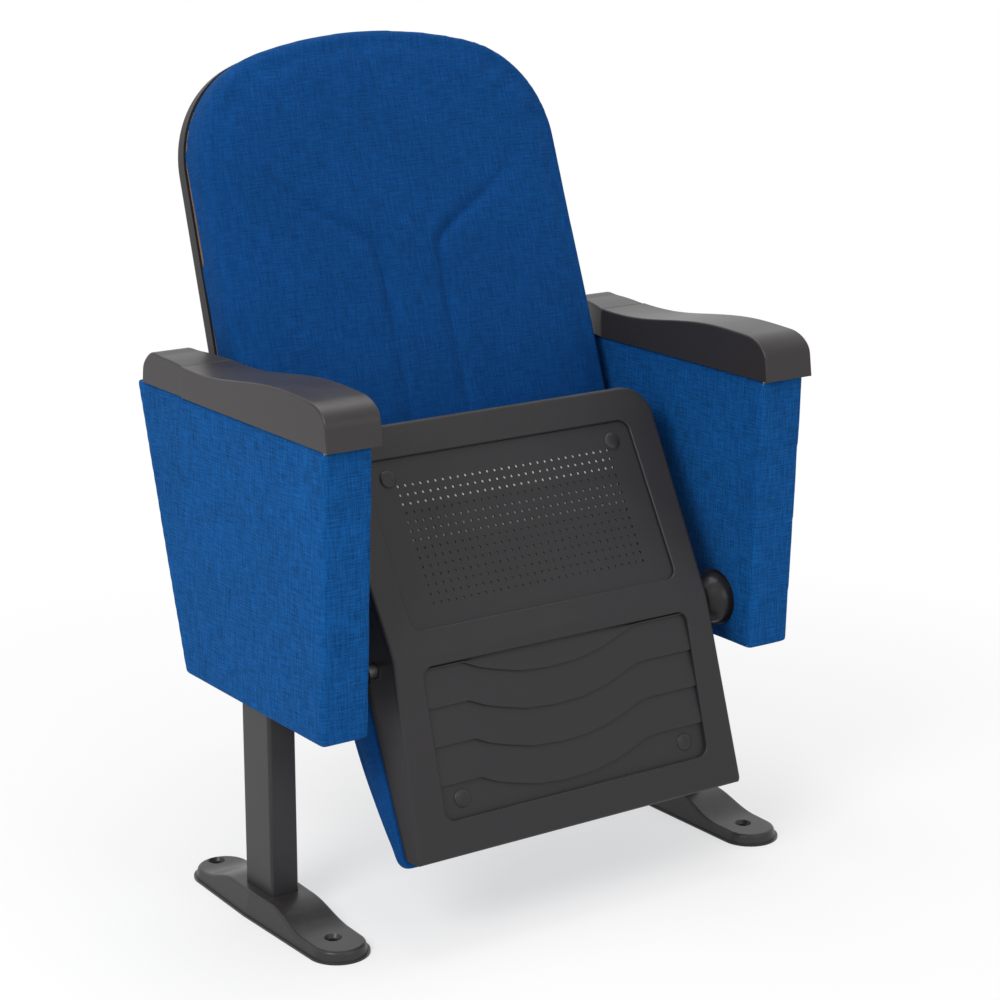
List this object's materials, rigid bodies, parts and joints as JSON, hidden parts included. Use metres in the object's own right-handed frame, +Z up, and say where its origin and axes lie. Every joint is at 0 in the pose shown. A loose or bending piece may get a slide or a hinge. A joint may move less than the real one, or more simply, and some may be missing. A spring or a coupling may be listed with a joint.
{
  "type": "tip-up auditorium seat",
  "caption": "Self-rising auditorium seat with perforated moulded pan, curved padded back, upholstered side panels, wave armrests and floor-bolted legs",
  "frame": {"origin": "on the floor, at the centre of the four floor bolt holes, midway between the two legs", "axes": "+Z up, the seat faces -Y, +X is to the right of someone looking at its front"},
  "size_m": [0.6604, 0.5129, 0.9538],
  "materials": {
    "panel_fabric": "woven blue upholstery, matt",
    "back_fabric": "woven blue upholstery, matt",
    "seat_fabric": "woven blue upholstery, matt",
    "moulded_shell": "fine grained charcoal moulding",
    "screw_cap": "charcoal push-in cap",
    "arm_plastic": "satin charcoal moulding",
    "dome_plastic": "semi-gloss black moulding",
    "foot_cover": "satin charcoal powder coat",
    "leg_paint": "satin charcoal powder coat",
    "frame_steel": "black painted steel plate",
    "pivot_steel": "zinc plated steel",
    "spring_steel": "oiled spring wire",
    "screw_steel": "zinc plated screws",
    "plywood": "plain plywood",
    "bush_plastic": "natural nylon",
    "stop_rubber": "black rubber"
  },
  "bodies": {
    "root": {"armrest_screws": "screw_steel", "back_board": "plywood", "back_bolts": "screw_steel", "back_cushion": "back_fabric", "back_shell": "moulded_shell", "back_shell_screws": "screw_steel", "left_arm_plate": "frame_steel", "left_arm_rear_block": "arm_plastic", "left_armrest": "arm_plastic", "left_back_bracket": "frame_steel", "left_base_plate": "frame_steel", "left_foot_cover": "foot_cover", "left_inner_board": "plywood", "left_leg_tube": "leg_paint", "left_outer_board": "plywood", "left_panel_cover": "panel_fabric", "left_panel_rim": "plywood", "left_pin_clip": "pivot_steel", "left_pivot_dome": "dome_plastic", "left_pivot_pin": "pivot_steel", "left_pivot_plate": "frame_steel", "left_stop_cam": "pivot_steel", "panel_screws": "screw_steel", "right_arm_plate": "frame_steel", "right_arm_rear_block": "arm_plastic", "right_armrest": "arm_plastic", "right_back_bracket": "frame_steel", "right_base_plate": "frame_steel", "right_foot_cover": "foot_cover", "right_inner_board": "plywood", "right_leg_tube": "leg_paint", "right_outer_board": "plywood", "right_panel_cover": "panel_fabric", "right_panel_rim": "plywood", "right_pin_clip": "pivot_steel", "right_pivot_dome": "dome_plastic", "right_pivot_pin": "pivot_steel", "right_pivot_plate": "frame_steel", "right_stop_cam": "pivot_steel"},
    "seat": {"hinge_screws": "screw_steel", "left_hinge_plate": "frame_steel", "left_pivot_bush": "bush_plastic", "left_return_spring": "spring_steel", "left_stop_buffers": "stop_rubber", "right_hinge_plate": "frame_steel", "right_pivot_bush": "bush_plastic", "right_return_spring": "spring_steel", "right_stop_buffers": "stop_rubber", "seat_board": "plywood", "seat_cushion": "seat_fabric", "seat_pan": "moulded_shell", "seat_pan_screws": "screw_steel", "seat_screw_caps": "screw_cap", "seat_vent_panel": "moulded_shell"}
  },
  "joints": [
    {"name": "seat_tip", "type": "hinge", "parent": "root", "child": "seat", "pos_m": [0, -0.10596, 0.29989], "axis": [1, 0, 0], "range_deg": [0, 108], "stiffness_Nm_per_rad": 1.3, "springref_deg": -22.92, "deforming": ["right_return_spring", "left_return_spring"]}
  ]
}
